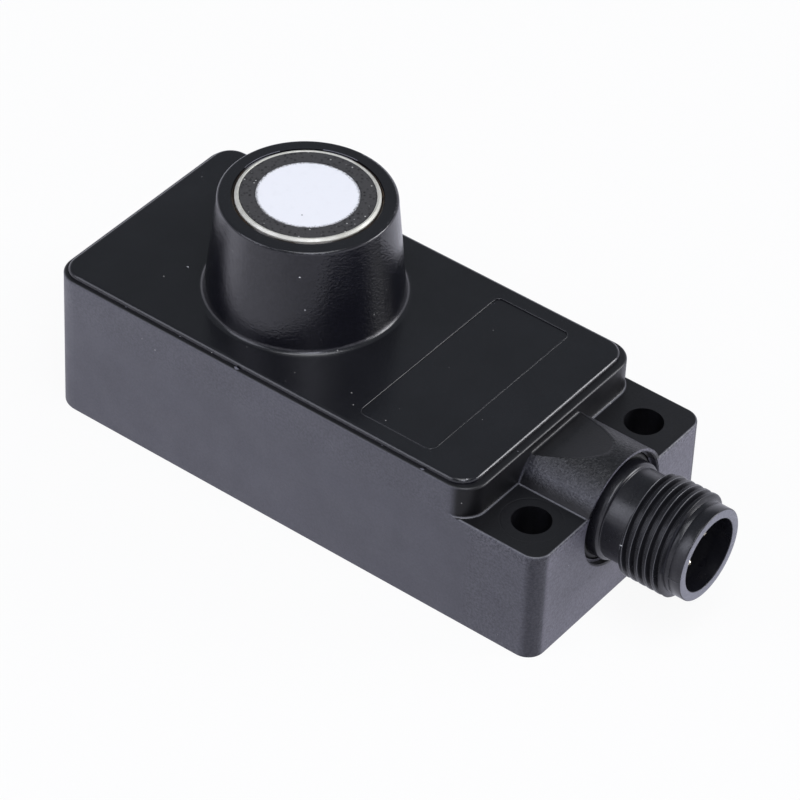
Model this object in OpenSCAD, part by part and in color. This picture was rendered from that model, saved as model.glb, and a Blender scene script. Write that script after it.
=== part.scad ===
// Compact ultrasonic proximity sensor: a moulded housing with a screw deck at one
// end, a front cover with a conical nose, a transducer in the nose, a circuit board
// inside, and a round plug connector that leaves the deck's end wall.
// Origin: midway between the two screw holes, on the base. +X runs along the
// connector, away from the housing. +Z is the sensing direction.

/* [Housing] */
// Length of the moulding, without the connector
body_l = 65; // [63:0.5:75]
// Width of the moulding
body_w = 29.6; // [28.8:0.2:34]
// Height of the rim that carries the cover
rim_z = 17.9; // [17.5:0.1:22]
// Radius of the upright corners at the blind end and at the deck's wall
corner_r = 2.9; // [2:0.1:3.4]
// Round along the rim's outer edge
rim_round = 0.3; // [0.1:0.05:0.4]
// Thickness of the side walls
wall_t = 1.8; // [1.5:0.1:2.2]
// Thickness of the floor
floor_t = 2; // [1.5:0.1:2.4]
// Radius of the cavity's upright corners
cavity_r = 1; // [0.5:0.1:1.6]

/* [Screw deck] */
// Length of the low step that holds the screw holes
deck_l = 9; // [8.5:0.1:11]
// Height of the step
deck_z = 14; // [12.5:0.1:15]
// Radius of the step's own upright corners
deck_corner_r = 2; // [1.2:0.1:2.8]
// Round along the step's outer edge
deck_round = 0.3; // [0.1:0.05:0.4]
// Diameter of the screw holes
hole_d = 4.3; // [3.4:0.1:4.5]
// Distance between the two hole axes
hole_pitch = 20; // [19.6:0.2:22]
// Distance from the hole axes to the end wall
hole_end = 4.5; // [3.5:0.1:5.5]

/* [Connector hump] */
// Height of the connector's axis above the base
axis_z = 11.2; // [10.8:0.1:11.6]
// Diameter of the half-round hump over the connector
hump_d = 13.9; // [13.6:0.1:14.4]
// Wall left between the hump's skin and the recess in its end
hump_wall = 0.45; // [0.3:0.05:0.6]
// Angle at which the flat on the hump rises away from the cover
flat_angle = 12; // [8:1:20]
// Drop from the rim to the flat, where the flat meets the wall
flat_drop = 1.3; // [1:0.1:2]
// Radius of the fillets where the wall and the hump stand on the deck
foot_fillet = 0.3; // [0.15:0.05:0.5]
// Depth of the recess in the end wall
recess_depth = 1.7; // [1.5:0.1:2.2]
// Width of the step between the recess and the seal's seat
seat_step = 0.3; // [0.2:0.05:0.4]
// Bevel round the recess's mouth
mouth_bevel = 0.15; // [0.05:0.05:0.25]

/* [Front cover] */
// Margin of rim left bare along the cover's sides and blind end
cover_inset = 0.5; // [0.35:0.05:0.7]
// Margin of rim left bare at the deck's wall
deck_inset = 0.85; // [0.5:0.05:1.1]
// Height of the cover's face above the rim
cover_step = 0.55; // [0.45:0.05:1]
// Round along the cover's top edge
cover_round = 0.45; // [0.1:0.05:0.5]
// Depth of the register that sits inside the housing
register_h = 1.4; // [1:0.1:1.8]
// Clearance between the register and the housing
register_gap = 0.1; // [0.05:0.05:0.2]
// Length, width and depth of the marking field
field_l = 9.6; // [6:0.2:11]
// Width of the marking field
field_w = 24.4; // [16:0.2:25]
// Depth of the marking field
field_depth = 0.12; // [0.05:0.01:0.3]
// Corner radius of the marking field
field_r = 0.8; // [0.3:0.1:1.5]
// Distance from the marking field to the deck's wall
field_gap = 6.95; // [5:0.05:7.5]

/* [Nose] */
// Distance from the housing's blind end to the nose's axis
nose_from_end = 22.8; // [21:0.2:24]
// Height of the nose's flat top
nose_z = 31; // [29:0.1:36]
// Diameter of the cone where it meets the cover
nose_base_d = 21.8; // [21.2:0.1:23]
// Diameter of the cone at its top
nose_top_d = 19.2; // [18.8:0.1:20.4]
// Fillet at the foot of the cone
nose_fillet = 0.65; // [0.2:0.05:0.8]
// Round along the nose's top edge
nose_round = 0.35; // [0.1:0.05:0.4]
// Thickness of the lip that closes the nose over the sleeve
lip_t = 0.9; // [0.6:0.1:1.4]

/* [Transducer] */
// Outer diameter of the metal ring
ring_d = 15.5; // [15.1:0.05:15.7]
// Wall of the metal ring
ring_wall = 0.45; // [0.35:0.05:0.6]
// Height of the metal ring
ring_h = 9; // [8:0.1:10]
// How far the ring stands above the nose
ring_proud = 0.25; // [0:0.05:0.4]
// Gap between the ring and the nose's lip
lip_gap = 0.35; // [0.15:0.05:0.45]
// How far the adhesive between the ring and the lip lies below the lip
adhesive_drop = 0.1; // [0:0.05:0.3]
// Wall of the soft sleeve round the ring
sleeve_t = 0.7; // [0.5:0.05:0.8]
// Width of the foam ring round the front disc
foam_w = 1.65; // [1.2:0.05:2]
// Thickness of the front disc
disc_t = 2.4; // [1.8:0.1:3]
// How far the front disc lies below the ring's edge
disc_drop = 0.1; // [0:0.05:0.3]
// How far the foam lies below the ring's edge
foam_drop = 0.05; // [0:0.05:0.3]
// Height of the foam ring
foam_h = 4.4; // [4:0.1:5]
// Margin of the front disc round the ceramic disc
piezo_margin = 0.35; // [0.1:0.05:0.6]
// Thickness of the ceramic disc
piezo_t = 1.6; // [1:0.1:1.9]
// Thickness of the glue line between bonded pieces
bond_gap = 0.05; // [0.02:0.01:0.08]

/* [Circuit board] */
// Thickness of the board
board_t = 1.2; // [0.8:0.1:1.6]
// Height of the pillars that carry the board
standoff = 3; // [2.4:0.1:3.2]
// Side of each square pillar
pillar_w = 3.2; // [2.4:0.1:4]
// Gap between the board's edge and the walls
board_gap = 0.4; // [0.2:0.05:0.8]
// Outer diameter of the insulated wires
wire_d = 0.9; // [0.7:0.1:1]
// Distance between the wires' pads
wire_pad_pitch = 2.4; // [1.4:0.1:2.6]
// Distance from the wires' pads to the board's end
wire_pad_end = 9.5; // [8.5:0.1:9.8]

/* [Parts on the board] */
// Side of the transformer's square core
core_w = 9; // [7:0.1:9.6]
// Height of the transformer's core
core_h = 6.6; // [5:0.1:7.5]
// Diameter of the storage capacitor's can
can_d = 6.3; // [5:0.1:7]
// Height of the storage capacitor
can_h = 6.6; // [5:0.1:8]
// Diameter of the inductor's drum core
drum_d = 5.8; // [4.5:0.1:6]
// Height of the inductor
drum_h = 4; // [3:0.1:5]
// Side of the controller chip
controller_w = 7; // [5:0.1:7.2]
// Length of the amplifier chip
amplifier_l = 4.9; // [4:0.1:6]
// Length of the transistor and of the regulator
package_l = 6.5; // [5:0.1:6.8]
// Length of each small chip capacitor
chip_l = 2; // [1.2:0.1:2.2]

/* [Plug connector] */
// Reach of the connector past the end wall
plug_reach = 11; // [10.5:0.1:13]
// Diameter over the thread's crests
thread_d = 11.9; // [11.6:0.05:12.3]
// Distance from the end wall to the first turn
thread_start = 3.6; // [3:0.1:4]
// Length of the threaded stretch
thread_l = 5.3; // [4.5:0.1:5.8]
// Diameter of the plain neck behind the thread
neck_d = 10.4; // [10.2:0.1:10.8]
// Diameter of the plain front of the plug
front_d = 10.6; // [10.2:0.1:10.8]
// Diameter of the collar in the recess
collar_d = 11.2; // [11:0.1:11.6]
// How far the collar stands out of the recess
collar_out = 0.85; // [0.3:0.05:1.2]
// Diameter of the shank inside the housing
shank_d = 8.8; // [8.6:0.1:9]
// Wall of the shank
shank_wall = 0.7; // [0.5:0.05:0.8]
// Diameter of the socket
socket_d = 8.4; // [8.2:0.1:8.8]
// Depth of the socket
socket_depth = 8.5; // [7.5:0.1:9]
// Thickness of the carrier's front flange
flange_t = 1; // [0.6:0.1:1.4]
// Diameter of the contact pins
pin_d = 1; // [0.8:0.05:1.1]
// Diameter of the circle that the pins stand on
pin_circle_d = 5; // [4.6:0.1:5.2]
// How far the pin tips lie inside the socket's mouth
pin_setback = 2.1; // [1.5:0.1:3]
// Length of the pins' tails inside the housing
tail_l = 3; // [2:0.1:4]
// Thickness of the rubber seal's cord
seal_t = 0.96; // [0.8:0.01:0.98]
// Running clearance of the shank, the carrier and the pins
plug_gap = 0.05; // [0.02:0.01:0.08]
// Width of the coding rib in the socket
key_w = 1.2; // [0.8:0.1:1.4]
// Height of the coding rib
key_h = 0.6; // [0.4:0.05:0.7]
// Distance from the coding rib to the socket's mouth
key_setback = 1; // [0.5:0.1:2]

/* [Hidden] */
$fn = 96;
eps = 0.01;
clear_cut = 2;

// Stations along X
end_x = hole_end;
start_x = end_x - body_l;
wall_x = end_x - deck_l;
nose_x = start_x + nose_from_end;
cavity_x0 = start_x + wall_t;
cavity_x1 = wall_x - wall_t;
recess_x = end_x - recess_depth;
tip_x = end_x + plug_reach;

// Levels above the base
cover_z = rim_z + cover_step;
flat_z = rim_z - flat_drop;
fillet_bite = foot_fillet / 30;
board_z = floor_t + standoff;
board_top = board_z + board_t;
ring_top = nose_z + ring_proud;
ring_bottom = ring_top - ring_h;
foam_top = ring_top - foam_drop;
foam_bottom = foam_top - foam_h;
disc_bottom = ring_top - disc_drop - disc_t;
piezo_bottom = disc_bottom - bond_gap - piezo_t;

// Widths and radii that follow from the fits
cavity_w = body_w - 2 * wall_t;
recess_r = hump_d / 2 - hump_wall;
seat_r = recess_r - seat_step;
sleeve_r0 = ring_d / 2 + bond_gap;
sleeve_r1 = sleeve_r0 + sleeve_t;
nose_bore_r = sleeve_r1 + bond_gap;
lip_r = ring_d / 2 + lip_gap;
foam_r = ring_d / 2 - ring_wall - bond_gap;
disc_d = 2 * (foam_r - foam_w - bond_gap);
piezo_d = disc_d - 2 * piezo_margin;
ledge_r = ring_d / 2 - 2 * sleeve_t;
shank_r = shank_d / 2;
carrier_bore_r = shank_r - shank_wall;

// Outline with round corners, from (0, 0)
module rounded_outline(l, w, r) {
    translate([r, 0]) square([l - 2 * r, w]);
    translate([0, r]) square([l, w - 2 * r]);
    for (x = [r, l - r], y = [r, w - r])
        translate([x, y]) circle(r);
}

// Section of a bar whose two upper edges are rounded
module rounded_bar_section(w, h, e) {
    square([w, h - e]);
    translate([e, 0]) square([w - 2 * e, h]);
    intersection() {
        square([w, h]);
        for (x = [e, w - e])
            translate([x, h - e]) circle(e);
    }
}

// Half section of a round post whose upper edge is rounded
module rounded_post_section(r, h, e) {
    square([r, h - e]);
    square([r - e, h]);
    intersection() {
        square([r, h]);
        translate([r - e, h - e]) circle(e);
    }
}

// Block with round upright corners and a round upper edge, from (0, 0, 0)
module moulded_block(l, w, h, r, e) {
    translate([r, 0, 0]) rotate([90, 0, 90])
        linear_extrude(l - 2 * r) rounded_bar_section(w, h, e);
    translate([0, w - r, 0]) rotate([90, 0, 0])
        linear_extrude(w - 2 * r) rounded_bar_section(l, h, e);
    for (x = [r, l - r], y = [r, w - r])
        translate([x, y, 0]) rotate_extrude() rounded_post_section(r, h, e);
}

// Cylinder along +X from x0 to x1 on the connector's axis
module plug_cylinder(x0, x1, r) {
    translate([x0, 0, axis_z]) rotate([0, 90, 0]) cylinder(h = x1 - x0, r = r);
}

// Revolves an outline of (radius, x) about the connector's axis
module plug_revolve() {
    translate([0, 0, axis_z]) rotate([0, 90, 0]) rotate_extrude() children();
}

// Outline of the cut that makes the flat, rounded where the flat meets the wall
module flat_cut_section() {
    slope = tan(flat_angle);
    f = foot_fillet;
    center_y = flat_z + f * slope + f / cos(flat_angle);
    difference() {
        polygon([[wall_x - wall_t, flat_z], [wall_x, flat_z],
            [end_x + clear_cut, flat_z + (deck_l + clear_cut) * slope],
            [end_x + clear_cut, cover_z + hump_d], [wall_x - wall_t, cover_z + hump_d]]);
        difference() {
            translate([wall_x - wall_t, flat_z - f])
                square([wall_t + f, center_y - flat_z + f]);
            translate([wall_x + f - fillet_bite, center_y - fillet_bite]) circle(f);
        }
    }
}

// Hump over the connector, with the flat that slopes down to the cover
module connector_hump() {
    difference() {
        plug_cylinder(wall_x - wall_t / 2, end_x, hump_d / 2);
        translate([0, body_w / 2, 0]) rotate([90, 0, 0]) linear_extrude(body_w)
            flat_cut_section();
    }
}

// Section of a fillet in a right-angled corner at (0, 0)
module fillet_section() {
    difference() {
        translate([-foot_fillet / 2, -foot_fillet / 2]) square(foot_fillet * 1.5);
        translate([1, 1] * (foot_fillet - fillet_bite)) circle(foot_fillet);
    }
}

// Fillet where the wall beside the cover stands on the deck
module wall_fillet() {
    intersection() {
        union() {
            straight = body_w - 2 * corner_r;
            translate([wall_x, straight / 2, deck_z]) rotate([90, 0, 0])
                linear_extrude(straight) fillet_section();
            for (side = [-1, 1])
                translate([wall_x - corner_r, side * straight / 2, deck_z])
                    rotate_extrude() translate([corner_r, 0]) fillet_section();
        }
        translate([wall_x - corner_r, -body_w / 2, deck_z - foot_fillet])
            cube([deck_l, body_w, 3 * foot_fillet]);
    }
}

// Fillets where the hump stands on the deck
module hump_fillets() {
    f = foot_fillet;
    rise = deck_z - axis_z;
    hump_r = hump_d / 2;
    foot_y = sqrt(pow(hump_r + f, 2) - pow(rise + f, 2));
    touch = [foot_y, rise + f] * hump_r / (hump_r + f);
    for (side = [0, 1]) mirror([0, side, 0])
        translate([wall_x - f, 0, axis_z]) rotate([90, 0, 90])
            linear_extrude(deck_l + f - deck_round) difference() {
                polygon([[touch[0] - f, rise - f], [foot_y, rise - f],
                    [foot_y, rise + f], touch, [touch[0] - f, touch[1]]]);
                translate([foot_y, rise + f - fillet_bite]) circle(f);
            }
}

// Stepped recess and passage that take the connector
module connector_recess() {
    plug_cylinder(recess_x, end_x + clear_cut, seat_r);
    plug_cylinder(recess_x + seal_t + 2 * plug_gap - seat_step / 2, end_x + clear_cut, recess_r);
    plug_revolve() polygon([[0, end_x - mouth_bevel], [recess_r, end_x - mouth_bevel],
        [recess_r + mouth_bevel + eps, end_x + eps], [0, end_x + eps]]);
    plug_cylinder(cavity_x1 - clear_cut, recess_x + eps, shank_r + plug_gap);
}

// Cavity down to a level
module cavity(level, height) {
    translate([cavity_x0, -cavity_w / 2, level]) linear_extrude(height)
        rounded_outline(cavity_x1 - cavity_x0, cavity_w, cavity_r);
}

// One square at each corner of the cavity
module pillar_squares() {
    for (x = [cavity_x0, cavity_x1 - pillar_w], y = [-cavity_w / 2, cavity_w / 2 - pillar_w])
        translate([x, y]) square(pillar_w);
}

module housing() {
    color("#26262a") difference() {
        union() {
            translate([start_x, -body_w / 2, 0])
                moulded_block(body_l - deck_l, body_w, rim_z, corner_r, rim_round);
            translate([wall_x - 2 * corner_r, -body_w / 2, 0])
                moulded_block(deck_l + 2 * corner_r, body_w, deck_z, deck_corner_r, deck_round);
            connector_hump();
            wall_fillet();
            hump_fillets();
        }
        difference() {
            cavity(floor_t, rim_z);
            translate([0, 0, floor_t - eps]) linear_extrude(standoff + eps) pillar_squares();
        }
        for (y = [-hole_pitch / 2, hole_pitch / 2])
            translate([0, y, -clear_cut]) cylinder(h = deck_z + 2 * clear_cut, d = hole_d);
        connector_recess();
    }
}

// Half section of the nose: cone, fillet at its foot and round at its top
module nose_section() {
    base_r = nose_base_d / 2;
    top_r = nose_top_d / 2;
    height = nose_z - cover_z;
    lean = atan((base_r - top_r) / height);
    round_x = top_r - nose_round * tan(45 - lean / 2);
    fillet_x = base_r + nose_fillet * tan(45 - lean / 2);
    difference() {
        union() {
            difference() {
                polygon([[0, -cover_step], [fillet_x, -cover_step], [fillet_x, 0], [base_r, 0],
                    [top_r, height], [0, height]]);
                translate([round_x, height - nose_round])
                    square([base_r, clear_cut * 2]);
            }
            translate([round_x, height - nose_round]) circle(nose_round);
            difference() {
                translate([top_r, -cover_step / 2])
                    square([fillet_x - top_r, cover_step / 2 + nose_fillet]);
                translate([fillet_x, nose_fillet]) circle(nose_fillet);
            }
        }
        translate([0, -cover_z]) square([nose_bore_r, nose_z - lip_t]);
        translate([0, -cover_z]) square([lip_r, nose_z + clear_cut]);
    }
}

module front_cover() {
    plate_l = wall_x - start_x - cover_inset - deck_inset;
    plate_w = body_w - 2 * cover_inset;
    color("#202023") difference() {
        union() {
            translate([start_x + cover_inset, -plate_w / 2, rim_z])
                moulded_block(plate_l, plate_w, cover_step, corner_r - cover_inset, cover_round);
            translate([cavity_x0 + register_gap, -cavity_w / 2 + register_gap, rim_z - register_h])
                linear_extrude(register_h + eps)
                    rounded_outline(cavity_x1 - cavity_x0 - 2 * register_gap,
                        cavity_w - 2 * register_gap, cavity_r - register_gap);
            translate([nose_x, 0, cover_z]) rotate_extrude() nose_section();
        }
        translate([nose_x, 0, rim_z - register_h - clear_cut])
            cylinder(h = register_h + clear_cut + cover_step + lip_t, r = nose_bore_r);
        translate([wall_x - field_gap - field_l, -field_w / 2, cover_z - field_depth])
            linear_extrude(clear_cut) rounded_outline(field_l, field_w, field_r);
    }
}

// Ring section about the nose's axis: inner radius, outer radius, bottom, top
module nose_tube(r0, r1, z0, z1) {
    translate([nose_x, 0, z0]) difference() {
        cylinder(h = z1 - z0, r = r1);
        translate([0, 0, -clear_cut]) cylinder(h = z1 - z0 + 2 * clear_cut, r = r0);
    }
}

module transducer_ring() {
    bevel = ring_wall / 2;
    burr = ring_wall / 8;
    inner_r = ring_d / 2 - ring_wall;
    color("#c9c9c2") translate([nose_x, 0, ring_bottom]) rotate_extrude()
        polygon([[inner_r, 0], [ring_d / 2, 0], [ring_d / 2, ring_h - bevel],
            [ring_d / 2 - bevel, ring_h], [inner_r + burr, ring_h], [inner_r, ring_h - burr]]);
}

module ring_adhesive() {
    bottom = nose_z - lip_t;
    top = nose_z - adhesive_drop;
    r0 = ring_d / 2 + bond_gap;
    r1 = lip_r - bond_gap;
    color("#2a211b") translate([nose_x, 0, 0]) rotate_extrude()
        polygon([[r0, bottom], [r1, bottom], [r1, top - adhesive_drop / 2],
            [(r0 + r1) / 2, top - adhesive_drop], [r0, top]]);
}

module foam_ring() {
    color("#3c3c3a") nose_tube(disc_d / 2 + bond_gap, foam_r, foam_bottom, foam_top);
}

module matching_disc() {
    color("#eceffa") translate([nose_x, 0, disc_bottom]) cylinder(h = disc_t, d = disc_d);
}

module piezo_disc() {
    color("#d8c9a0") translate([nose_x, 0, piezo_bottom]) cylinder(h = piezo_t, d = piezo_d);
}

// Where the two leads leave the ceramic disc, and how far apart their pads spread
lead_y = piezo_d / 4;
lead_spread = [piezo_d / 5, piezo_d / 7];

module damping_body() {
    top = foam_bottom - bond_gap;
    post_r = disc_d / 2;
    bottom = ring_bottom + ring_wall;
    color("#5a5248") translate([nose_x, 0, 0]) difference() {
        union() {
            translate([0, 0, bottom]) cylinder(h = top - bottom, r = foam_r);
            translate([0, 0, bottom]) cylinder(h = piezo_bottom - bond_gap - bottom, r = post_r);
        }
        for (y = [-lead_y, lead_y])
            translate([0, y, bottom - clear_cut])
                cylinder(h = ring_h + clear_cut, r = wire_d / 2 + plug_gap);
    }
}

module isolation_sleeve() {
    floor_z = ring_bottom - sleeve_t;
    color("#1c1c1c") difference() {
        nose_tube(ledge_r, sleeve_r1, floor_z, nose_z - lip_t - bond_gap);
        translate([nose_x, 0, ring_bottom])
            cylinder(h = ring_h + clear_cut, r = sleeve_r0);
    }
}

// Stations along a curve with four control points, each a point and a direction
wire_rings = 12;
function curve(p) = [for (i = [0:wire_rings]) let (t = i / wire_rings, s = 1 - t)
    [s * s * s * p[0] + 3 * s * s * t * p[1] + 3 * s * t * t * p[2] + t * t * t * p[3],
        s * s * (p[1] - p[0]) + 2 * s * t * (p[2] - p[1]) + t * t * (p[3] - p[2])]];
function unit(v) = v / norm(v);

// Insulated wire through such stations, with 8 sides
module wire(stations, d) {
    sides = 8;
    last = len(stations) - 1;
    points = [for (s = stations) let (dir = unit(s[1]), u = unit(cross([0, 1, 0], dir)),
            v = cross(dir, u))
        for (k = [0:sides - 1]) let (a = 360 * k / sides)
            s[0] + d / 2 * (cos(a) * u + sin(a) * v)];
    side_faces = [for (i = [0:last - 1], k = [0:sides - 1]) let (n = (k + 1) % sides)
        [i * sides + k, (i + 1) * sides + k, (i + 1) * sides + n, i * sides + n]];
    start_face = [for (k = [0:sides - 1]) k];
    end_face = [for (k = [sides - 1:-1:0]) last * sides + k];
    polyhedron(points, concat([start_face], side_faces, [end_face]));
}

// Lead from the back of the ceramic disc, straight down through the damping body
// and then in a bend to its pad on the board
module transducer_lead(side) {
    top = [nose_x, side * lead_y, piezo_bottom - bond_gap];
    exit = [top[0], top[1], ring_bottom];
    pad = [nose_x + lead_spread[0] * side, side * (lead_y + lead_spread[1]), board_top];
    bend = [0, 0, (exit[2] - board_top) / 2];
    wire(concat([[top, -bend]], curve([exit, exit - bend, pad + bend, pad])), wire_d);
}

module lead_signal() { color("#b03028") transducer_lead(1); }
module lead_ground() { color("#303030") transducer_lead(-1); }

module potting_block() {
    color("#2e2a24") translate([0, 0, floor_t]) linear_extrude(standoff) {
        translate([cavity_x0 + pillar_w, -cavity_w / 2])
            square([cavity_x1 - cavity_x0 - 2 * pillar_w, cavity_w]);
        translate([cavity_x0, -cavity_w / 2 + pillar_w])
            square([cavity_x1 - cavity_x0, cavity_w - 2 * pillar_w]);
    }
}

// The board's size, which its components are placed by
board_l = cavity_x1 - cavity_x0 - 2 * board_gap;
board_w = cavity_w - 2 * board_gap;
board_x0 = cavity_x0 + board_gap;
board_x1 = board_x0 + board_l;

module circuit_board() {
    color("#2f6b3c") translate([board_x0, -board_w / 2, board_z])
        cube([board_l, board_w, board_t]);
}

// Puts a component on the board: u is its share of the board's length from the blind
// end, v its share of the half width
module on_board(u, v) {
    translate([board_x0 + u * board_l, v * board_w / 2, board_top]) children();
}

// Step-up transformer: bobbin base, square core with a round window, and its coil
bobbin_t = core_w / 9;
window_r = core_w * 0.4;
post_r = core_w * 0.18;
yoke_t = core_h / 6;

module place_transformer() { on_board(0.126, 0.44) children(); }

module transformer_bobbin() {
    color("#d8d2c0") place_transformer() translate([-core_w / 2 - bobbin_t, -core_w / 2, 0])
        cube([core_w + 2 * bobbin_t, core_w, bobbin_t]);
}

module transformer_core() {
    color("#4a4a4c") place_transformer() translate([0, 0, bobbin_t]) difference() {
        translate([-core_w / 2, -core_w / 2, 0]) cube([core_w, core_w, core_h]);
        translate([0, 0, yoke_t]) difference() {
            union() {
                cylinder(h = core_h - 2 * yoke_t, r = window_r);
                translate([0, -window_r, 0]) cube([core_w, 2 * window_r, core_h - 2 * yoke_t]);
            }
            cylinder(h = core_h, r = post_r);
        }
    }
}

module transformer_winding() {
    color("#b4622e") place_transformer() translate([0, 0, bobbin_t + yoke_t]) difference() {
        cylinder(h = core_h - 2 * yoke_t, r = window_r - bond_gap);
        translate([0, 0, -clear_cut]) cylinder(h = core_h + clear_cut, r = post_r + bond_gap);
    }
}

// Moulded chip with bent leads on two of its sides, or on all four
module leaded_chip(l, w, h, sides, per_side) {
    lead_pitch = l / (per_side + 0.5);
    lead_w = lead_pitch * 0.4;
    lead_t = h / 7;
    lead_l = h * 0.62;
    translate([-l / 2, -w / 2, lead_t / 2]) cube([l, w, h]);
    for (turn = [0:360 / sides:359], i = [0:per_side - 1])
        rotate(turn) translate([(i - (per_side - 1) / 2) * lead_pitch - lead_w / 2,
                -(turn % 180 == 0 ? w : l) / 2, 0])
            rotate([90, 0, 90]) linear_extrude(lead_w)
                polygon([[eps, h / 2], [eps, h / 2 + lead_t], [-lead_l * 0.4, h / 2 + lead_t],
                    [-lead_l * 0.6, lead_t], [-lead_l, lead_t], [-lead_l, 0],
                    [-lead_l * 0.55, 0], [-lead_l * 0.35, h / 2]]);
}

module controller_chip() {
    color("#222226") on_board(0.67, 0.04)
        leaded_chip(controller_w, controller_w, controller_w / 5, 4, 8);
}

module amplifier_chip() {
    color("#222226") on_board(0.28, -0.6)
        leaded_chip(amplifier_l, amplifier_l * 0.8, amplifier_l * 0.3, 2, 4);
}

module clock_resonator() {
    resonator_l = chip_l * 1.6;
    color("#b9b4a6") on_board(0.67, 0.6) translate([-resonator_l / 2, -resonator_l * 0.4, 0])
        cube([resonator_l, resonator_l * 0.8, resonator_l * 0.28]);
}

module storage_capacitor() {
    can_r = can_d / 2;
    waist = can_r / 12;
    color("#a9abb0") on_board(0.09, -0.52) {
        translate([-can_r, -can_r, 0]) cube([can_d, can_d, can_h / 8]);
        rotate_extrude() polygon([[0, can_h / 16], [can_r, can_h / 16], [can_r, can_h / 4],
            [can_r - waist, can_h / 4 + waist], [can_r, can_h / 4 + 2 * waist],
            [can_r, can_h - waist], [can_r - waist, can_h], [0, can_h]]);
    }
}

// Drum core and its coil
drum_r = drum_d / 2;
drum_neck_r = drum_r / 2;
drum_flange_t = drum_h / 5;

module place_inductor() { on_board(0.505, 0.62) children(); }

module inductor_core() {
    color("#45454a") place_inductor() rotate_extrude()
        polygon([[0, 0], [drum_r, 0], [drum_r, drum_flange_t], [drum_neck_r, drum_flange_t],
            [drum_neck_r, drum_h - drum_flange_t], [drum_r, drum_h - drum_flange_t],
            [drum_r, drum_h], [0, drum_h]]);
}

module inductor_winding() {
    color("#b4622e") place_inductor() translate([0, 0, drum_flange_t]) difference() {
        cylinder(h = drum_h - 2 * drum_flange_t, r = drum_r * 0.9);
        translate([0, 0, -clear_cut]) cylinder(h = drum_h + clear_cut, r = drum_neck_r + bond_gap);
    }
}

// Power package with three feet on one side and a tab on the other
module tab_package() {
    l = package_l;
    w = l * 0.54;
    foot_t = l / 26;
    foot_l = l * 0.18;
    foot_w = l / 9;
    translate([-l / 2, -w / 2, foot_t / 2]) cube([l, w, l / 4]);
    translate([-l / 4, w / 2 - eps, 0]) cube([l / 2, foot_l, foot_t]);
    for (i = [-1:1])
        translate([i * l / 3 - foot_w / 2, -w / 2 - foot_l, 0]) cube([foot_w, w, foot_t]);
}

module drive_transistor() { color("#222226") on_board(0.455, -0.65) tab_package(); }
module voltage_regulator() { color("#222226") on_board(0.795, -0.6) tab_package(); }

// Places of the small chips on the board, as shares of its length and half width
resistor_places = [for (i = [0:3]) [0.425 + 0.043 * i, 0]];
capacitor_places = [for (u = [0.285, 0.35], i = [0:2]) [u, 0.47 + 0.18 * i]];

module chip_resistors() {
    color("#303034") for (p = resistor_places)
        on_board(p[0], p[1]) translate([-chip_l * 0.2, -chip_l * 0.4, 0])
            cube([chip_l * 0.4, chip_l * 0.8, chip_l / 4]);
}

module chip_capacitors() {
    color("#b59b6c") for (p = capacitor_places)
        on_board(p[0], p[1]) translate([-chip_l / 2, -chip_l * 0.32, 0])
            cube([chip_l, chip_l * 0.64, chip_l * 0.45]);
}

// Outline of the plug's shell as (radius, x), from the housing out to the tip
module shell_section() {
    neck_r = neck_d / 2;
    collar_r = collar_d / 2;
    collar_round = (collar_r - neck_r) * 0.4;
    collar_x0 = recess_x + seal_t + 2 * plug_gap;
    collar_x1 = end_x + collar_out;
    crest_r = thread_d / 2;
    front_r = front_d / 2;
    crest_x0 = end_x + thread_start;
    crest_x1 = crest_x0 + thread_l;
    lead_in = (crest_r - neck_r) / 2;
    rim_bevel = 0.12;
    shoulder_x = tip_x - socket_depth - flange_t;
    polygon([[carrier_bore_r, cavity_x1], [shank_r, cavity_x1], [shank_r, recess_x],
        [neck_r, recess_x], [neck_r, collar_x0], [collar_r, collar_x0],
        [collar_r, collar_x1 - collar_round], [collar_r - collar_round, collar_x1],
        [neck_r, collar_x1], [neck_r, crest_x0 - lead_in / 2], [crest_r, crest_x0 + lead_in],
        [crest_r, crest_x1 - lead_in], [front_r, crest_x1], [front_r, tip_x - rim_bevel],
        [front_r - rim_bevel, tip_x], [socket_d / 2, tip_x], [socket_d / 2, shoulder_x],
        [carrier_bore_r, shoulder_x]]);
}

// Coding rib inside the socket, on the side away from the deck's near hole
key_angle = 135;

module connector_shell() {
    socket_r = socket_d / 2;
    color("#222225") {
        plug_revolve() shell_section();
        translate([0, 0, axis_z]) rotate([key_angle, 0, 0])
            translate([tip_x - socket_depth, socket_r - key_h, -key_w / 2])
                cube([socket_depth - key_setback, key_h + (front_d - socket_d) / 4, key_w]);
    }
}

module contact_carrier() {
    face_x = tip_x - socket_depth;
    shoulder_x = face_x - flange_t;
    color("#18181a") difference() {
        union() {
            plug_cylinder(shoulder_x, face_x, socket_d / 2 - plug_gap);
            plug_cylinder(cavity_x1, shoulder_x + eps, carrier_bore_r - plug_gap);
        }
        for (i = [0:3]) pin_place(i)
            translate([cavity_x1 - clear_cut, 0, 0]) rotate([0, 90, 0])
                cylinder(h = face_x - cavity_x1 + 2 * clear_cut, d = pin_d + 2 * plug_gap);
    }
}

// Puts something on pin i, with the pin's axis as its X axis
module pin_place(i) {
    translate([0, 0, axis_z]) rotate([90 * i, 0, 0])
        translate([0, pin_circle_d / 2, 0]) rotate([-90 * i, 0, 0]) children();
}

module contact_pin(i) {
    pin_r = pin_d / 2;
    tail_r = pin_r * 0.8;
    stop_x = tip_x - pin_setback;
    color("#c8b070") pin_place(i) rotate([0, 90, 0]) rotate_extrude()
        polygon([[0, cavity_x1 - tail_l], [tail_r, cavity_x1 - tail_l], [tail_r, cavity_x1],
            [pin_r, cavity_x1], [pin_r, stop_x - pin_r], [pin_r * 0.85, stop_x - pin_r * 0.45],
            [pin_r * 0.45, stop_x - pin_r * 0.08], [0, stop_x]]);
}

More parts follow.
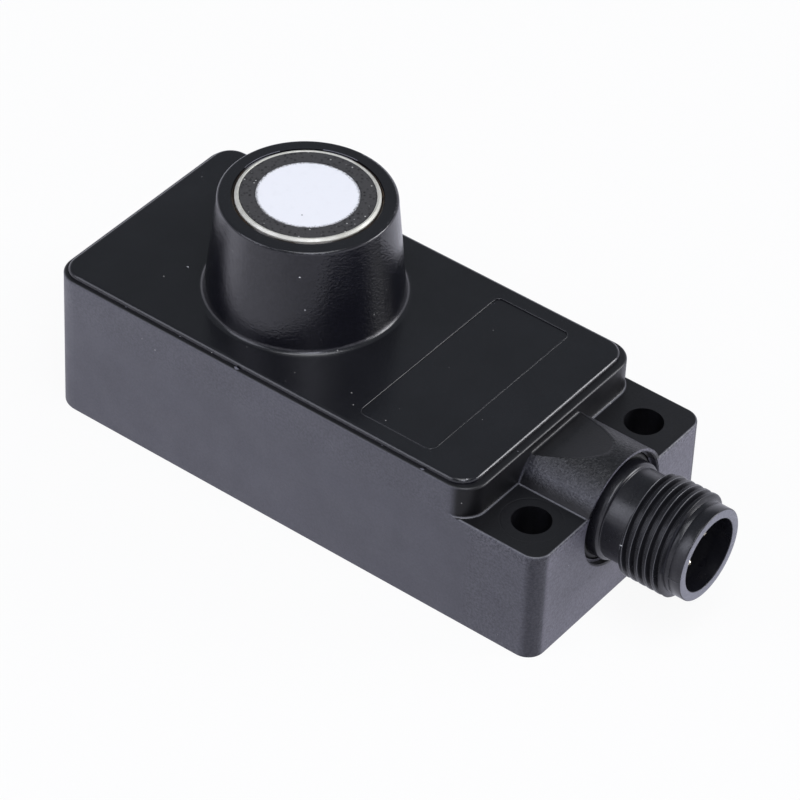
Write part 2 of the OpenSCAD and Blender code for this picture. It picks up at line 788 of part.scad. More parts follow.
module contact_pin_1() { contact_pin(0); }
module contact_pin_2() { contact_pin(1); }
module contact_pin_3() { contact_pin(2); }
module contact_pin_4() { contact_pin(3); }

// Wire from a pin's tail to its pad on the board; the pads lie in a row across the board
wire_pad_x = board_x1 - wire_pad_end;

module connector_wire(i, row) {
    angle = 90 * i;
    tail_x = cavity_x1 - tail_l;
    start = [tail_x, pin_circle_d / 2 * cos(angle), axis_z + pin_circle_d / 2 * sin(angle)];
    pad = [wire_pad_x, row * wire_pad_pitch, board_top];
    bend = (start - pad) * 0.55;
    wire(curve([start, start - [bend[0], 0, 0], pad + [0, 0, bend[2]], pad]), wire_d);
}

module connector_wire_1() { color("#8a5a2c") connector_wire(0, 1.5); }
module connector_wire_2() { color("#dcdcdc") connector_wire(1, 0.5); }
module connector_wire_3() { color("#3058a0") connector_wire(2, -1.5); }
module connector_wire_4() { color("#28282a") connector_wire(3, -0.5); }

module connector_seal() {
    seal_r = (neck_d / 2 + seat_r) / 2;
    color("#151515") plug_revolve()
        translate([seal_r, recess_x + seal_t / 2 + plug_gap]) circle(d = seal_t);
}

housing();
front_cover();
transducer_ring();
ring_adhesive();
foam_ring();
matching_disc();
piezo_disc();
damping_body();
isolation_sleeve();
lead_signal();
lead_ground();
potting_block();
circuit_board();
transformer_core();
transformer_bobbin();
transformer_winding();
controller_chip();
amplifier_chip();
clock_resonator();
storage_capacitor();
inductor_core();
inductor_winding();
drive_transistor();
voltage_regulator();
chip_resistors();
chip_capacitors();
connector_shell();
contact_carrier();
contact_pin_1();
contact_pin_2();
contact_pin_3();
contact_pin_4();
connector_wire_1();
connector_wire_2();
connector_wire_3();
connector_wire_4();
connector_seal();
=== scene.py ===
import math
import random
import bmesh
import bpy
from mathutils import Matrix, Vector


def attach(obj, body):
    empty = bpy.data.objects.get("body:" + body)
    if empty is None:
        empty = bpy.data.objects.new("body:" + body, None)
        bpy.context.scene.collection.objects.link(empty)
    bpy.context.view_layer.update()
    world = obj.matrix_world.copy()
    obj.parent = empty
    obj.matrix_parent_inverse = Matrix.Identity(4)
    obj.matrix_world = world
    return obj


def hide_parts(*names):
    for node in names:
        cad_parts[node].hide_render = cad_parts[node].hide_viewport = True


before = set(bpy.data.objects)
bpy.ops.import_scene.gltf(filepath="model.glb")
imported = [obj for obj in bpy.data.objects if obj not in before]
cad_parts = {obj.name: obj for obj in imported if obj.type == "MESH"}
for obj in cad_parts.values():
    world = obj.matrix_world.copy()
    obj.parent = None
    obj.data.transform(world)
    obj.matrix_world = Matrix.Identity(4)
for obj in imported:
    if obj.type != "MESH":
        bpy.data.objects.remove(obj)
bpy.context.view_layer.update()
mm = 0.001
plugAxis = 11.2  # height of the plug's axis, mm
noseAxis = (-37.7, 0)  # axis of the nose and its sensing face, mm
print("frame loaded,", len(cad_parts), "nodes")


# helpers for shader nodes

def newFinish(name):
    mat = bpy.data.materials.new(name)
    mat.use_nodes = True
    return mat, mat.node_tree, mat.node_tree.nodes["Principled BSDF"]


def addNode(tree, kind, values=(), **settings):
    node = tree.nodes.new(kind)
    for key, value in settings.items():
        setattr(node, key, value)
    for key, value in dict(values).items():
        if isinstance(value, bpy.types.NodeSocket):
            tree.links.new(value, node.inputs[key])
        else:
            node.inputs[key].default_value = value
    return node


def objectPlace(tree, stretch=(1, 1, 1)):
    coords = addNode(tree, "ShaderNodeTexCoord")
    mapping = addNode(tree, "ShaderNodeMapping", {"Vector": coords.outputs["Object"], "Scale": stretch})
    return mapping.outputs[0]


def placeParts(tree):
    # x, y and z in mm
    return addNode(tree, "ShaderNodeSeparateXYZ", {0: objectPlace(tree, (1 / mm,) * 3)}).outputs


def normalParts(tree):
    normal = addNode(tree, "ShaderNodeNewGeometry").outputs["Normal"]
    return addNode(tree, "ShaderNodeSeparateXYZ", {0: normal}).outputs


def noiseField(tree, grain, detail=3, rough=0.55, stretch=(1, 1, 1)):
    # grain is the size of one blob in mm; it is set on the place, since a Scale socket ends at 1000
    spot = objectPlace(tree, tuple(v / (grain * mm) for v in stretch))
    return addNode(tree, "ShaderNodeTexNoise", {"Vector": spot, "Scale": 1, "Detail": detail,
        "Roughness": rough}).outputs["Fac"]


def remap(tree, value, low, high, toLow=0.0, toHigh=1.0):
    return addNode(tree, "ShaderNodeMapRange", {"Value": value, "From Min": low, "From Max": high,
        "To Min": toLow, "To Max": toHigh}).outputs["Result"]


def maths(tree, operation, a, b=0.0):
    return addNode(tree, "ShaderNodeMath", {0: a, 1: b}, operation=operation).outputs[0]


def times(tree, a, b):
    return maths(tree, "MULTIPLY", a, b)


def between(tree, value, rise, fall):
    # 1 inside a stretch, with an ease of its own at each end
    return times(tree, remap(tree, value, *rise), remap(tree, value, *fall))


def blendTones(tree, factor, low, high):
    node = addNode(tree, "ShaderNodeMix", data_type="RGBA")
    tree.links.new(factor, node.inputs[0])
    for socket, tone in ((node.inputs[6], low), (node.inputs[7], high)):
        if isinstance(tone, bpy.types.NodeSocket):
            tree.links.new(tone, socket)
        else:
            socket.default_value = (*tone, 1)
    return node.outputs[2]


def scaleTone(tree, tone, factor):
    return addNode(tree, "ShaderNodeVectorMath", {0: tone, "Scale": factor}, operation="SCALE").outputs[0]


def bumpFrom(tree, height, depth, after=None):
    # depth in mm
    node = addNode(tree, "ShaderNodeBump", {"Height": height, "Distance": depth * mm, "Strength": 1})
    if after:
        tree.links.new(after, node.inputs["Normal"])
    return node.outputs[0]


def specks(tree, look):
    # dust grains: small dots in some of the cells of a loose lattice
    spacing, size = look["dustSpacing"], look["dustSize"]
    cells = addNode(tree, "ShaderNodeTexVoronoi", {"Vector": objectPlace(tree, (1 / (spacing * mm),) * 3),
        "Scale": 1, "Randomness": 1})
    dot = remap(tree, cells.outputs["Distance"], size / spacing, size / spacing * 0.5)
    red = addNode(tree, "ShaderNodeSeparateColor", {0: cells.outputs["Color"]}).outputs[0]
    return times(tree, dot, maths(tree, "LESS_THAN", red, look["dustShare"]))


def facing(tree, axis, low, high):
    # 1 on faces that look along an axis, 0 on those that don't
    return remap(tree, normalParts(tree)[axis], low, high)


def farFrom(tree, center, stretch=(1, 1, 1)):
    # distance in mm from a point or, with a zero in stretch, from a line
    spot = objectPlace(tree, tuple(v / mm for v in stretch))
    node = addNode(tree, "ShaderNodeVectorMath", {0: spot, 1: center}, operation="DISTANCE")
    return node.outputs["Value"]


def roundSpot(tree, at, r, core):
    # 1 round a point, out to the share of its radius that core gives
    return remap(tree, farFrom(tree, at), r, r * core)


# helpers for meshes

def meshPiece(name, verts, faces, finish, smooth=True):
    data = bpy.data.meshes.new(name)
    data.from_pydata([tuple(v) for v in verts], [], faces)
    data.update()
    if smooth:
        data.polygons.foreach_set("use_smooth", [True] * len(data.polygons))
    piece = bpy.data.objects.new(name, data)
    bpy.context.scene.collection.objects.link(piece)
    data.materials.append(finish)
    return piece


def tidyMesh(piece, weld=1e-7, sharpAngle=30):
    work = bmesh.new()
    work.from_mesh(piece.data)
    bmesh.ops.remove_doubles(work, verts=work.verts, dist=weld)
    bmesh.ops.dissolve_degenerate(work, edges=work.edges, dist=weld)
    bmesh.ops.recalc_face_normals(work, faces=work.faces)
    for edge in work.edges:
        if len(edge.link_faces) == 2:
            edge.smooth = edge.calc_face_angle(0) < math.radians(sharpAngle)
    work.to_mesh(piece.data)
    work.free()


def arcPoints(x, y, r, start, end, steps):
    turns = [math.radians(start + (end - start) * k / steps) for k in range(steps + 1)]
    return [(x + r * math.cos(a), y + r * math.sin(a)) for a in turns]


# sizes of the plug in mm, which its finish and its shell share

plug = {
    "innerEnd": -6.3, "boreR": 3.7, "shankR": 4.4, "recessX": 2.8, "neckR": 5.2, "neckFillet": 0.05,
    "collarX": (3.86, 5.4), "collarR": 5.6, "collarRound": 0.39, "collarEdge": 0.1,
    "threadX": (8.05, 13.5), "rootR": 5.36, "crestR": 5.94, "pitch": 1.0, "turnsFrom": 0.32,
    # the turns grow over fade and run out 1.2 times quicker; over rootEase the root meets its neighbours
    "fade": 0.2, "runOut": 1.2, "rootEase": 0.2,
    # one crest from its middle to the next root: share of the pitch, share of the height
    "profile": [(0, 1), (0.11, 1), (0.13, 1), (0.15, 0.98), (0.175, 0.93), (0.20, 0.84),
        (0.30, 0.43), (0.39, 0.045), (0.42, 0), (0.5, 0)],
    "frontR": 5.3, "lineX": (14.0, 14.05, 14.1), "lineDepth": 0.03, "rimX": 15.5, "rimRound": 0.12,
    "socketR": 4.2, "socketRound": 0.08, "socketFloor": 6.0,
    "keyTurn": 135, "keyW": 1.2, "keyH": 0.6, "keyX": (7.0, 14.5), "keyEdge": 0.12, "keyRoot": 0.25,
    "around": 180, "roundSteps": 5,
}


# moulded plastics; tones are linear, sizes and places in mm

mouldings = {
    # where each layer comes in, on its noise or on the face's normal
    "litEndFrom": (0.965, 0.995), "cloudFrom": (0.40, 0.66), "rubFrom": (0.35, 0.75),
    "grainFrom": (0.35, 0.65), "boreEase": 0.1,
    "rubStretch": (1, 0.25, 1), "rubGloss": -0.03, "dustCover": 0.8, "grainCore": 0.6,
}
housingLook = {
    # the walls' tone is partly the grained walls' own grey and partly painted reflection of the bright
    # floor
    "upFrom": (0.48, 0.88), "wallTone": (0.027, 0.027, 0.042), "wallToneWorn": (0.036, 0.036, 0.053),
    "topTone": (0.0032, 0.0032, 0.0045), "topToneWorn": (0.0056, 0.0056, 0.0075),
    # the end tone is painted light on the faces that look along +X
    "endPaintedLight": (0.082, 0.079, 0.105), "wallRough": 0.50, "topRough": 0.40, "ior": 1.56,
    "wallShine": 1.0, "topShine": 0.5, "cloudSize": 7, "rubSize": 3, "rubRough": 0.06,
    "grainSize": 0.27, "grainDepth": 0.14, "grainShade": 0.42, "topGrainShare": 0.10,
    # the grain is weaker on the body under the cover, and low on the walls
    "grainX": (-5, -4), "farGrain": 0.3, "grainZ": (12, 14.3), "lowGrain": 0.4,
    "sinkSize": 14, "sinkDepth": 0.12,
    "dustSpacing": 1.5, "dustSize": 0.09, "dustShare": 0.10, "dustTone": (0.42, 0.41, 0.40),
    "dustGrains": [((-46.19, -14.8, 14.73), 0.09)],
    # painted highlight along the small rounds at the height of the deck
    "edgeHighlight": {"z": 14.0, "reach": 0.22, "ease": 0.05, "rise": (0.5, 0.75), "fall": (0.96, 0.86),
        "tone": (0.10, 0.10, 0.115)},
    "mark": {"at": (0, -10, 0), "r": 3.3, "width": 0.12, "depth": 0.02},
    "hump": {"axis": (0, 0, plugAxis), "r": 6.95, "away": (0.12, 0.06), "z": (14.2, 15.2),
        "x": (-4.3, -3.8), "share": 0.6},
    # painted shade on the upright corners
    "corners": {"slant": (0.1, 0.4), "loss": 0.42, "x": (-20, -6), "farShare": 0.3},
    # painted shade beside the cover, at the wall's foot and in the screw holes
    # strip and foot are measured from wallX, the rings round the holes from holeR
    "smooth": {"wallX": -4.5, "stripRise": (-2.9, -1.9), "stripFall": (0.4, 0.3),
        "stripFacing": (0.05, 0.4), "fromZ": (13.9, 14.1), "footRise": (0.1, 0.3), "footZ": (16.4, 14.8),
        "holeY": 10, "holeR": 2.15, "holeEase": (0.2, 0.1)},
}
coverLook = {
    "upFrom": (0.35, 0.75), "wallTone": (0.0036, 0.0036, 0.0068), "wallToneWorn": (0.0052, 0.0052, 0.0092),
    "topTone": (0.0088, 0.0090, 0.0112), "topToneWorn": (0.0115, 0.0118, 0.0145),
    "endPaintedLight": (0.0065, 0.0065, 0.009), "wallRough": 0.20, "topRough": 0.21, "ior": 1.56,
    "wallShine": 0.54, "topShine": 0.5, "cloudSize": 12, "rubSize": 4, "rubRough": 0.05,
    "grainSize": 0.30, "grainDepth": 0.040, "grainShade": 0.1, "topGrainShare": 0.3,
    "sinkSize": 16, "sinkDepth": 0.10,
    "dustSpacing": 1.3, "dustSize": 0.09, "dustShare": 0.16, "dustTone": (0.45, 0.44, 0.42),
}
plugLook = {
    # only the thread gets the top's tones and shine, a lighter and duller copy of the plastic: painted
    # light in its shaded grooves
    "upFrom": (1.5, 2), "threadRise": (7.95, 8.1), "threadFall": (13.5, 13.3),
    "wallTone": (0.0068, 0.0068, 0.0092), "wallToneWorn": (0.009, 0.009, 0.0120),
    "topTone": (0.012, 0.012, 0.014), "topToneWorn": (0.015, 0.015, 0.018),
    "endPaintedLight": (0.139, 0.140, 0.173), "wallRough": 0.29, "topRough": 0.29, "ior": 1.56,
    "wallShine": 0.5, "topShine": 0.19, "cloudSize": 5, "rubSize": 1.5, "rubRough": 0.06,
    "grainSize": 0.22, "grainDepth": 0.006, "grainShade": 0.1, "topGrainShare": 1,
    "sinkSize": 5, "sinkDepth": 0.03,
    "dustSpacing": 1.1, "dustSize": 0.07, "dustShare": 0.16, "dustTone": (0.34, 0.33, 0.31),
    "axis": (0, 0, plugAxis), "boreR": 4.25, "boreShadeShine": 0.45,
    # painted highlights on the edges of the thread's crests
    "crests": {"tone": (0.125, 0.125, 0.135), "rise": (0.105, 0.085), "fall": (0.012, 0.022),
        "startX": (8.1, 8.2), "endX": (13.3, 13.1)},
}


def edgeHighlight(tree, highlight):
    # a painted highlight on the small rounds at the height of the deck
    away = maths(tree, "ABSOLUTE", maths(tree, "SUBTRACT", placeParts(tree)[2], highlight["z"]))
    near = remap(tree, away, highlight["reach"] + highlight["ease"], highlight["reach"])
    return times(tree, near, between(tree, normalParts(tree)[2], highlight["rise"], highlight["fall"]))


def humpSkin(tree, hump, spot):
    # the round skin over the plug is grained up to its edges
    away = maths(tree, "SUBTRACT", farFrom(tree, hump["axis"], (0, 1, 1)), hump["r"])
    skin = remap(tree, maths(tree, "ABSOLUTE", away), *hump["away"])
    skin = times(tree, skin, remap(tree, spot[2], *hump["z"]))
    return times(tree, skin, remap(tree, spot[0], *hump["x"], 0, hump["share"]))


def cornerShadeFactor(tree, corners, x):
    # painted shade: the upright corners are darker, most of all at the screw deck
    normal = normalParts(tree)
    slant = maths(tree, "ABSOLUTE", times(tree, normal[0], normal[1]))
    loss = remap(tree, slant, *corners["slant"], 0, corners["loss"])
    loss = times(tree, loss, remap(tree, x, *corners["x"], corners["farShare"], 1))
    return maths(tree, "SUBTRACT", 1, loss)


def crestHighlight(tree, crests, fromAxis, x):
    # painted highlights on the small rounds of the thread's crests
    rise, fall = ([plug["crestR"] - inside for inside in crests[key]] for key in ("rise", "fall"))
    along = between(tree, x, crests["startX"], crests["endX"])
    return times(tree, between(tree, fromAxis, rise, fall), along)


def mouldTone(tree, look, up):
    # painted light: faces that look along +X get the lighter end tone
    end = times(tree, facing(tree, 0, *mouldings["litEndFrom"]), maths(tree, "SUBTRACT", 1, up))
    level = blendTones(tree, up, look["wallTone"], look["topTone"])
    worn = blendTones(tree, up, look["wallToneWorn"], look["topToneWorn"])
    cloud = remap(tree, noiseField(tree, look["cloudSize"], 5, 0.6), *mouldings["cloudFrom"])
    tone = blendTones(tree, end, blendTones(tree, cloud, level, worn), look["endPaintedLight"])
    if "edgeHighlight" in look:
        tone = blendTones(tree, edgeHighlight(tree, look["edgeHighlight"]), tone, look["edgeHighlight"]["tone"])
    return tone


def mouldRough(tree, look, up):
    rough = remap(tree, up, 0, 1, look["wallRough"], look["topRough"])
    rub = noiseField(tree, look["rubSize"], 5, 0.6, mouldings["rubStretch"])
    worn = remap(tree, rub, *mouldings["rubFrom"], mouldings["rubGloss"], look["rubRough"])
    return maths(tree, "ADD", rough, worn)


def grainShare(tree, look, up, spot):
    share = remap(tree, up, 0, 1, 1, look["topGrainShare"])
    if "grainX" in look:
        share = times(tree, share, remap(tree, spot[0], *look["grainX"], look["farGrain"], 1))
        share = times(tree, share, remap(tree, spot[2], *look["grainZ"], look["lowGrain"], 1))
    if "hump" in look:
        share = maths(tree, "MAXIMUM", share, humpSkin(tree, look["hump"], spot))
    return share


def mouldNormal(tree, look, grain, share):
    # grain, then sinks, then a faint pressed ring round a screw hole
    normal = bumpFrom(tree, times(tree, grain, share), look["grainDepth"])
    normal = bumpFrom(tree, noiseField(tree, look["sinkSize"], 1), look["sinkDepth"], normal)
    if "mark" in look:
        ring = maths(tree, "SUBTRACT", farFrom(tree, look["mark"]["at"], (1, 1, 0)), look["mark"]["r"])
        groove = remap(tree, maths(tree, "ABSOLUTE", ring), 0, look["mark"]["width"])
        normal = bumpFrom(tree, groove, look["mark"]["depth"], normal)
    return normal


def mouldDust(tree, look):
    dust = specks(tree, look)
    for at, r in look.get("dustGrains", ()):
        dust = maths(tree, "MAXIMUM", dust, roundSpot(tree, at, r, mouldings["grainCore"]))
    return times(tree, dust, mouldings["dustCover"])


def mouldedPlastic(name, look, topToneZone=None):
    mat, tree, shader = newFinish(name)
    up = facing(tree, 2, *look["upFrom"])
    if topToneZone:
        up = maths(tree, "MAXIMUM", up, topToneZone(tree))
    spot = placeParts(tree)
    grain = noiseField(tree, look["grainSize"], 2, 0.7)
    share = grainShare(tree, look, up, spot)
    shade = remap(tree, grain, *mouldings["grainFrom"], -look["grainShade"], look["grainShade"])
    shade = maths(tree, "ADD", times(tree, shade, share), 1)
    if "corners" in look:
        shade = times(tree, shade, cornerShadeFactor(tree, look["corners"], spot[0]))
    tone = scaleTone(tree, mouldTone(tree, look, up), shade)
    tone = blendTones(tree, mouldDust(tree, look), tone, look["dustTone"])
    shine = times(tree, remap(tree, up, 0, 1, look["wallShine"], look["topShine"]), shade)
    if "crests" in look:
        fromAxis = farFrom(tree, look["axis"], (0, 1, 1))
        highlight = crestHighlight(tree, look["crests"], fromAxis, spot[0])
        tone = blendTones(tree, highlight, tone, look["crests"]["tone"])
        # painted shade: the socket's inside is given less shine
        bore = (look["boreR"], look["boreR"] + mouldings["boreEase"])
        shine = times(tree, shine, remap(tree, fromAxis, *bore, look["boreShadeShine"], 1))
    tree.links.new(tone, shader.inputs["Base Color"])
    tree.links.new(mouldRough(tree, look, up), shader.inputs["Roughness"])
    tree.links.new(mouldNormal(tree, look, grain, share), shader.inputs["Normal"])
    tree.links.new(shine, shader.inputs["Specular IOR Level"])
    shader.inputs["IOR"].default_value = look["ior"]
    return mat


def housingShadeZone(tree):
    # painted shade: the wall beside the cover, its foot and the insides of the holes with a ring round
    # each take the dark top tones
    zone = housingLook["smooth"]
    spot = placeParts(tree)
    rise, fall, foot = ([zone["wallX"] + shift for shift in zone[key]]
        for key in ("stripRise", "stripFall", "footRise"))
    strip = times(tree, between(tree, spot[0], rise, fall), facing(tree, 0, *zone["stripFacing"]))
    strip = times(tree, strip, remap(tree, spot[2], *zone["fromZ"]))
    low = between(tree, spot[2], zone["fromZ"], zone["footZ"])
    strip = maths(tree, "MAXIMUM", strip, times(tree, low, remap(tree, spot[0], *foot)))
    ring = [zone["holeR"] + ease for ease in zone["holeEase"]]
    holes = [remap(tree, farFrom(tree, (0, y, 0), (1, 1, 0)), *ring)
        for y in (-zone["holeY"], zone["holeY"])]
    return maths(tree, "MAXIMUM", strip, maths(tree, "MAXIMUM", *holes))


def plugThreadZone(tree):
    # painted light: the thread takes the lighter top tones
    return between(tree, placeParts(tree)[0], plugLook["threadRise"], plugLook["threadFall"])


housingFinish = mouldedPlastic("housingPlastic", housingLook, housingShadeZone)
coverFinish = mouldedPlastic("coverPlastic", coverLook)
plugFinish = mouldedPlastic("plugPlastic", plugLook, plugThreadZone)
print("moulded plastics ready")


# sensing face: white disc, foam, ring and its adhesive

discLook = {
    "tone": (0.95, 0.955, 0.98), "spotTone": (0.91, 0.915, 0.94), "spotSize": 1.2, "spotFrom": (0.55, 0.8),
    "rough": 0.62, "pitSize": 0.3, "pitDepth": 0.01,
    # the ragged rim starts and ends where edge says, measured from r
    "center": (*noseAxis, 0), "r": 5.53, "edge": (-0.04, 0.22), "edgeTone": (0.10, 0.10, 0.10),
    "ragged": 0.42, "raggedSize": 0.13, "raggedFrom": (0.3, 0.7),
    "speck": ((-36.06, -3.08, 31.15), 0.09), "speckCore": 0.7, "speckTone": (0.05, 0.05, 0.06),
}
foamLook = {
    "tone": (0.050, 0.049, 0.050), "poreTone": (0.002, 0.002, 0.002), "rough": 0.85,
    "poreSize": 0.50, "poreFrom": (0.12, 0.42), "poreDepth": 0.10,
    "fineSize": 0.30, "fineFrom": (0.62, 0.42), "fineDepth": 0.05,
    "dustSpacing": 0.62, "dustSize": 0.11, "dustShare": 0.5, "dustTone": (0.50, 0.50, 0.48),
}
ringLook = {
    "tone": (0.72, 0.71, 0.64), "dullTone": (0.55, 0.54, 0.47), "metal": 0.35,
    "rough": (0.36, 0.54), "roughFrom": (0.3, 0.8), "streakSize": 1.2, "streakFrom": (0.45, 0.75),
    "brushSize": 0.12, "brushDepth": 0.002,
}
adhesiveLook = {
    "tone": (0.020, 0.014, 0.010), "thinTone": (0.060, 0.038, 0.024), "rough": 0.16,
    "waveSize": 1.6, "waveFrom": (0.5, 0.75), "waveDepth": 0.05,
    # places where a painted reflection lies on it as a pale patch, and how far each reaches, mm
    "lipReflections": [((-45.7, 1.3, 31), 2.3), ((-39.6, 7.9, 31), 1.9)], "lipReflectionCore": 0.5,
    "lipReflectionTone": (0.16, 0.16, 0.17),
}


def discResin(look):
    mat, tree, shader = newFinish("discResin")
    spots = remap(tree, noiseField(tree, look["spotSize"], 4), *look["spotFrom"])
    tone = blendTones(tree, spots, look["tone"], look["spotTone"])
    nicks = noiseField(tree, look["raggedSize"], 3, 0.7)
    nicks = remap(tree, nicks, *look["raggedFrom"], 0, look["ragged"])
    reach = maths(tree, "ADD", farFrom(tree, look["center"], (1, 1, 0)), nicks)
    edge = remap(tree, reach, *(look["r"] + width for width in look["edge"]))
    tone = blendTones(tree, edge, tone, look["edgeTone"])
    tone = blendTones(tree, roundSpot(tree, *look["speck"], look["speckCore"]), tone, look["speckTone"])
    tree.links.new(tone, shader.inputs["Base Color"])
    pits = noiseField(tree, look["pitSize"], 3)
    tree.links.new(bumpFrom(tree, pits, look["pitDepth"]), shader.inputs["Normal"])
    shader.inputs["Roughness"].default_value = look["rough"]
    return mat


def openFoam(look):
    mat, tree, shader = newFinish("openFoam")
    pores = addNode(tree, "ShaderNodeTexVoronoi", {"Scale": 1,
        "Vector": objectPlace(tree, (1 / (look["poreSize"] * mm),) * 3)}).outputs["Distance"]
    walls = remap(tree, pores, *look["poreFrom"])
    fine = noiseField(tree, look["fineSize"], 4, 0.7)
    tone = blendTones(tree, walls, look["poreTone"], look["tone"])
    tone = blendTones(tree, remap(tree, fine, *look["fineFrom"]), look["tone"], tone)
    tone = blendTones(tree, specks(tree, look), tone, look["dustTone"])
    tree.links.new(tone, shader.inputs["Base Color"])
    normal = bumpFrom(tree, walls, look["poreDepth"])
    tree.links.new(bumpFrom(tree, fine, look["fineDepth"], normal), shader.inputs["Normal"])
    shader.inputs["Roughness"].default_value = look["rough"]
    return mat


def turnedRing(look):
    mat, tree, shader = newFinish("turnedRing")
    streak = noiseField(tree, look["streakSize"], 4)
    tone = blendTones(tree, remap(tree, streak, *look["streakFrom"]), look["tone"], look["dullTone"])
    tree.links.new(tone, shader.inputs["Base Color"])
    tree.links.new(remap(tree, streak, *look["roughFrom"], *look["rough"]), shader.inputs["Roughness"])
    brush = noiseField(tree, look["brushSize"], 2)
    tree.links.new(bumpFrom(tree, brush, look["brushDepth"]), shader.inputs["Normal"])
    shader.inputs["Metallic"].default_value = look["metal"]
    return mat


def wetAdhesive(look):
    mat, tree, shader = newFinish("wetAdhesive")
    wave = noiseField(tree, look["waveSize"], 2)
    tone = blendTones(tree, remap(tree, wave, *look["waveFrom"]), look["tone"], look["thinTone"])
    # painted reflections on the adhesive
    for at, reach in look["lipReflections"]:
        tone = blendTones(tree, roundSpot(tree, at, reach, look["lipReflectionCore"]), tone, look["lipReflectionTone"])
    tree.links.new(tone, shader.inputs["Base Color"])
    tree.links.new(bumpFrom(tree, wave, look["waveDepth"]), shader.inputs["Normal"])
    shader.inputs["Roughness"].default_value = look["rough"]
    return mat


discFinish = discResin(discLook)
foamFinish = openFoam(foamLook)
ringFinish = turnedRing(ringLook)
adhesiveFinish = wetAdhesive(adhesiveLook)
print("sensing face ready")


# finishes of the parts inside and of small flecks

innerLooks = {
    "piezoCeramic": {"tone": (0.62, 0.55, 0.36), "toneWorn": (0.52, 0.45, 0.29), "rough": 0.5},
    "dampingRubber": {"tone": (0.05, 0.045, 0.04), "toneWorn": (0.07, 0.062, 0.055), "rough": 0.75,
        "grainDepth": 0.03},
    "leadRed": {"tone": (0.42, 0.03, 0.02), "toneWorn": (0.34, 0.025, 0.02), "rough": 0.4},
    "wireDark": {"tone": (0.02, 0.02, 0.022), "toneWorn": (0.03, 0.03, 0.032), "rough": 0.4},
    "wireBrown": {"tone": (0.20, 0.085, 0.03), "toneWorn": (0.16, 0.065, 0.024), "rough": 0.4},
    "wireWhite": {"tone": (0.72, 0.72, 0.70), "toneWorn": (0.62, 0.62, 0.59), "rough": 0.4},
    "wireBlue": {"tone": (0.03, 0.09, 0.33), "toneWorn": (0.025, 0.07, 0.27), "rough": 0.4},
    "pottingResin": {"tone": (0.018, 0.018, 0.020), "toneWorn": (0.026, 0.026, 0.028), "rough": 0.3,
        "patchSize": 5, "grainSize": 3, "grainDepth": 0.08},
    "boardLaminate": {"tone": (0.02, 0.14, 0.06), "toneWorn": (0.025, 0.17, 0.075), "rough": 0.35,
        "patchSize": 3, "grainSize": 0.5, "grainDepth": 0.012},
    "ferrite": {"tone": (0.055, 0.055, 0.058), "toneWorn": (0.08, 0.08, 0.083), "rough": 0.55,
        "grainDepth": 0.02},
    "bobbinPlastic": {"tone": (0.62, 0.58, 0.46), "toneWorn": (0.54, 0.50, 0.39), "rough": 0.45},
    "enamelledWire": {"tone": (0.42, 0.13, 0.035), "toneWorn": (0.33, 0.10, 0.03), "rough": 0.28,
        "metal": 0.8, "grainSize": 0.25, "grainDepth": 0.05, "stretch": (0.1, 0.1, 1)},
    "chipPlastic": {"tone": (0.014, 0.014, 0.015), "toneWorn": (0.02, 0.02, 0.021), "rough": 0.5},
    "chipCeramic": {"tone": (0.50, 0.38, 0.22), "toneWorn": (0.42, 0.31, 0.18), "rough": 0.4},
    "canAluminium": {"tone": (0.60, 0.61, 0.63), "toneWorn": (0.50, 0.51, 0.53), "rough": 0.35,
        "metal": 0.9},
    "carrierPlastic": {"tone": (0.008, 0.008, 0.009), "toneWorn": (0.012, 0.012, 0.013), "rough": 0.5},
    "sealRubber": {"tone": (0.012, 0.012, 0.012), "toneWorn": (0.018, 0.018, 0.018), "rough": 0.6,
        "grainDepth": 0.02},
    "pinBrass": {"tone": (0.80, 0.74, 0.58), "toneWorn": (0.66, 0.60, 0.46), "rough": 0.2,
        "metal": 1, "grainSize": 0.1, "grainDepth": 0.004},
    # pale flash on the seams, and also the painted highlight along the lip
    "paleFlashAndLipHighlight": {"tone": (0.16, 0.16, 0.19), "toneWorn": (0.10, 0.10, 0.12), "rough": 0.35,
        "grainSize": 0.1},
    "paleDust": {"tone": (0.62, 0.62, 0.62), "toneWorn": (0.40, 0.40, 0.42), "rough": 0.6,
        "grainSize": 0.1},
}
innerUsual = {
    # for each finish that gives no value of its own
    "patchSize": 1.5, "toneFrom": (0.35, 0.7), "roughFrom": (0.3, 0.75), "roughSpan": (-0.05, 0.1),
    "grainSize": 0.2, "grainDepth": 0.01, "stretch": (1, 1, 1), "metal": 0,
}


def innerFinish(name, own):
    look = {**innerUsual, **own}
    mat, tree, shader = newFinish(name)
    patch = noiseField(tree, look["patchSize"], 4)
    tone = blendTones(tree, remap(tree, patch, *look["toneFrom"]), look["tone"], look["toneWorn"])
    tree.links.new(tone, shader.inputs["Base Color"])
    rough = [look["rough"] + span for span in look["roughSpan"]]
    tree.links.new(remap(tree, patch, *look["roughFrom"], *rough), shader.inputs["Roughness"])
    height = noiseField(tree, look["grainSize"], 3, 0.6, look["stretch"])
    tree.links.new(bumpFrom(tree, height, look["grainDepth"]), shader.inputs["Normal"])
    shader.inputs["Metallic"].default_value = look["metal"]
    return mat


